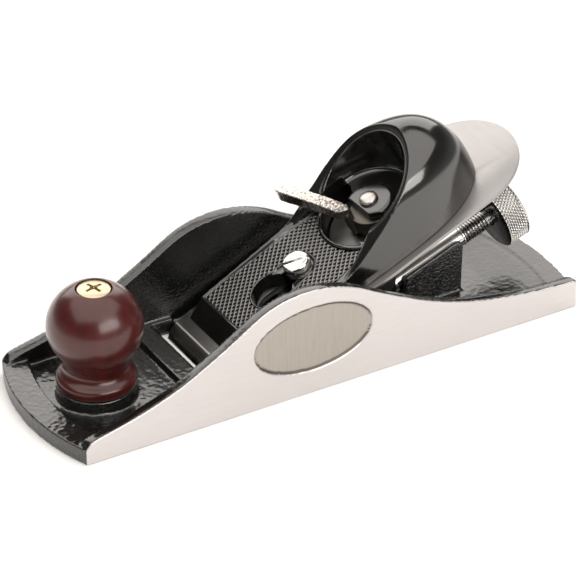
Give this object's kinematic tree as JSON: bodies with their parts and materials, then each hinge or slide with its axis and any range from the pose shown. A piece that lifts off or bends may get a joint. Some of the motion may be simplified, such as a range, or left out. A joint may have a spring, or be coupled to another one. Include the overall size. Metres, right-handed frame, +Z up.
{
  "type": "block plane",
  "caption": "Low-angle block plane: iron body with bowed ends, ball knob, bevel-up blade, hooded lever cap with a swinging cam lever, and a screw depth adjuster.",
  "frame": {"origin": "on the sole, midway along the ground sides and on the plane's centre line", "axes": "+X points to the toe, +Y to the plane's left, +Z up from the sole"},
  "size_m": [0.1779, 0.054, 0.0641],
  "materials": {
    "enamelled_iron": "black gloss enamel over a sand-cast skin, with the sides and sole ground bright",
    "lacquered_wood": "dark red-brown stain under gloss lacquer",
    "brass_screw": "bright",
    "ground_steel": "fine surface grinding, honed at the edge",
    "plated_steel": "nickel plate",
    "dark_steel": "plain, oiled"
  },
  "bodies": {
    "body": {"body_casting": "enamelled_iron", "front_knob": "lacquered_wood", "knob_screw": "brass_screw", "lever_pin": "dark_steel"},
    "blade": {"cutter": "ground_steel"},
    "adjuster": {"adjuster_rod": "plated_steel", "adjuster_knob": "plated_steel"},
    "depth_lever": {"depth_lever": "dark_steel"},
    "trunnion": {"trunnion_nut": "dark_steel"},
    "cap_screw": {"lever_cap_screw": "plated_steel"},
    "cap": {"lever_cap": "enamelled_iron", "cam_rivet": "plated_steel", "pressure_plate": "dark_steel"},
    "cam": {"cam_lever": "plated_steel"}
  },
  "joints": [
    {"name": "blade_slide", "type": "slide", "parent": "body", "child": "blade", "axis": [0.9063, 0, -0.4226], "range_m": [-0.00195, 0.00097]},
    {"name": "adjuster_turn", "type": "hinge", "parent": "body", "child": "adjuster", "pos_m": [-0.069, 0, 0.0224], "axis": [-0.9361, 0, 0.3518], "range_deg": [-345, 690]},
    {"name": "depth_lever_pivot", "type": "hinge", "parent": "body", "child": "depth_lever", "pos_m": [-0.0256, 0, 0.01677], "axis": [0, 1, 0], "range_deg": [-11, 5.5]},
    {"name": "trunnion_pivot", "type": "hinge", "parent": "depth_lever", "child": "trunnion", "pos_m": [-0.02912, 0, 0.00741], "axis": [0, 1, 0], "range_deg": [-5.5, 11]},
    {"name": "cap_screw_turn", "type": "hinge", "parent": "body", "child": "cap_screw", "pos_m": [-0.00416, 0, 0.01733], "axis": [0.4226, 0, 0.9063], "range_deg": [-180, 180]},
    {"name": "cap_slide", "type": "slide", "parent": "body", "child": "cap", "axis": [-0.9063, 0, 0.4226], "range_m": [0, 0.0105]},
    {"name": "cam_swing", "type": "hinge", "parent": "cap", "child": "cam", "pos_m": [-0.03017, 0, 0.02946], "axis": [0.4226, 0, 0.9063], "range_deg": [0, 60]}
  ],
  "couplings": [
    {"joint": "adjuster_turn", "follows": "blade_slide", "rad_per_m": -5890.3},
    {"joint": "depth_lever_pivot", "follows": "blade_slide", "rad_per_m": 93.747},
    {"joint": "trunnion_pivot", "follows": "blade_slide", "rad_per_m": -93.747}
  ]
}
